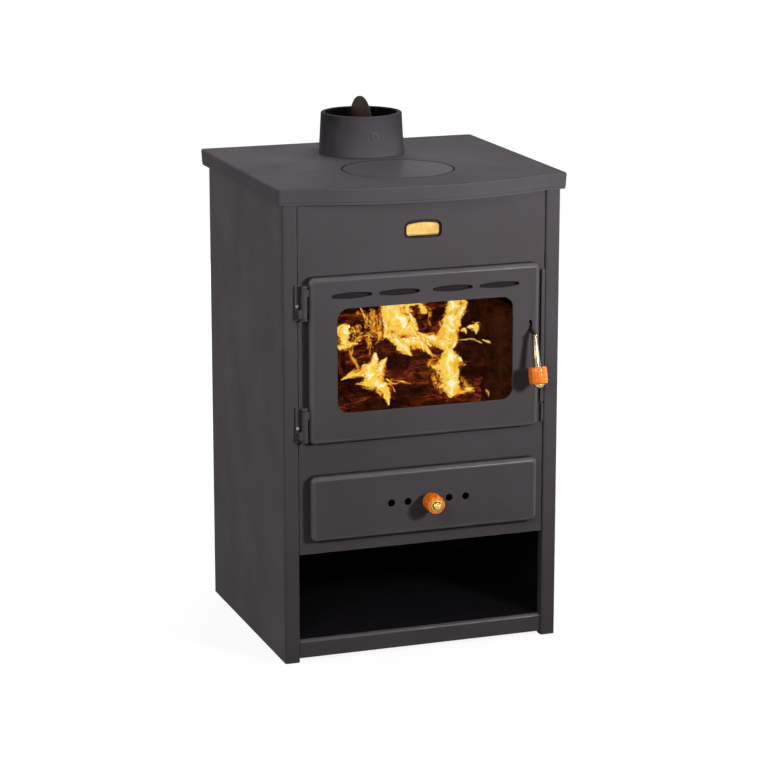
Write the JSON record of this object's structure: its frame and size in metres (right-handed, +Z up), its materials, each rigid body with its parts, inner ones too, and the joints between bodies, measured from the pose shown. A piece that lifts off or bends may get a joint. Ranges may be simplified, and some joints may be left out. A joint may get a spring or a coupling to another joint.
{
  "type": "wood-burning cookstove",
  "caption": "Free-standing steel wood stove with a glazed fire door, ash drawer with air control, open wood store, and a bowed cooking top with a lift-off lid and a damped flue collar.",
  "frame": {"origin": "centre of the footprint, on the floor", "axes": "+X to the stove's right as seen from the front, +Y to the back, +Z up"},
  "size_m": [0.4314, 0.4332, 0.7645],
  "materials": {
    "paint": "fine matte anthracite stove paint",
    "cast_top": "cast, painted matte anthracite",
    "sheet_steel": "dark heat-resistant coat",
    "cast_iron": "raw casting, heat-darkened",
    "firebrick": "matte pressed firebrick",
    "brass": "polished",
    "steel": "zinc-plated",
    "amber_wood": "turned, stained amber and lacquered",
    "rope_seal": "woven glass-fibre rope and tape",
    "door_glazing": "clear ceramic glass"
  },
  "bodies": {
    "stove": {"side_panel_left": "paint", "side_panel_right": "paint", "back_panel": "paint", "base_pan": "paint", "ash_deck": "sheet_steel", "front_panel": "paint", "name_plate": "brass", "rail_upper": "paint", "rail_lower": "paint", "firebox_shell": "sheet_steel", "hearth_plate": "cast_iron", "grate": "cast_iron", "liner_left": "firebrick", "liner_right": "firebrick", "liner_back": "firebrick", "log_guard": "cast_iron", "smoke_baffle": "cast_iron", "latch_keeper": "steel", "drawer_runner_left": "sheet_steel", "drawer_runner_right": "sheet_steel", "hinge_bracket_upper": "paint", "hinge_pin_upper": "steel", "hinge_bolt_upper": "steel", "hinge_bracket_lower": "paint", "hinge_pin_lower": "steel", "hinge_bolt_lower": "steel", "top_plate": "cast_top", "flue_collar": "cast_top"},
    "fire_door": {"door_leaf": "paint", "window_gasket": "rope_seal", "door_glass": "door_glazing", "glass_clip_left_lower": "steel", "glass_clip_left_upper": "steel", "glass_clip_right_lower": "steel", "glass_clip_right_upper": "steel", "slot_shade": "paint", "door_seal": "rope_seal", "lever_pivot": "steel", "door_knuckle_upper": "paint", "door_knuckle_lower": "paint"},
    "door_handle": {"latch_lever": "steel", "handle_rod": "brass", "handle_grip": "amber_wood", "handle_nut": "brass"},
    "ash_drawer": {"drawer_front": "paint", "ash_pan": "sheet_steel"},
    "air_control": {"air_slide": "steel", "air_knob": "amber_wood", "air_knob_nut": "brass"},
    "damper": {"damper_disc": "cast_iron", "damper_rod": "steel"},
    "lid": {"cooking_lid": "cast_top"}
  },
  "joints": [
    {"name": "fire_door_hinge", "type": "hinge", "parent": "stove", "child": "fire_door", "pos_m": [-0.1775, -0.1674, 0.4385], "axis": [0, 0, -1], "range_deg": [0, 115]},
    {"name": "handle_pivot", "type": "hinge", "parent": "fire_door", "child": "door_handle", "pos_m": [0.1575, -0.1643, 0.467], "axis": [-1, 0, 0], "range_deg": [0, 30]},
    {"name": "ash_drawer_slide", "type": "slide", "parent": "stove", "child": "ash_drawer", "axis": [0, -1, 0], "range_m": [0, 0.2]},
    {"name": "air_slide_run", "type": "slide", "parent": "ash_drawer", "child": "air_control", "axis": [1, 0, 0], "range_m": [0, 0.0125]},
    {"name": "damper_axle", "type": "hinge", "parent": "stove", "child": "damper", "pos_m": [0, 0.1052, 0.713], "axis": [0, 1, 0], "range_deg": [0, 90]},
    {"name": "lid_lift", "type": "slide", "parent": "stove", "child": "lid", "axis": [0, 0, 1], "range_m": [0, 0.06]}
  ]
}
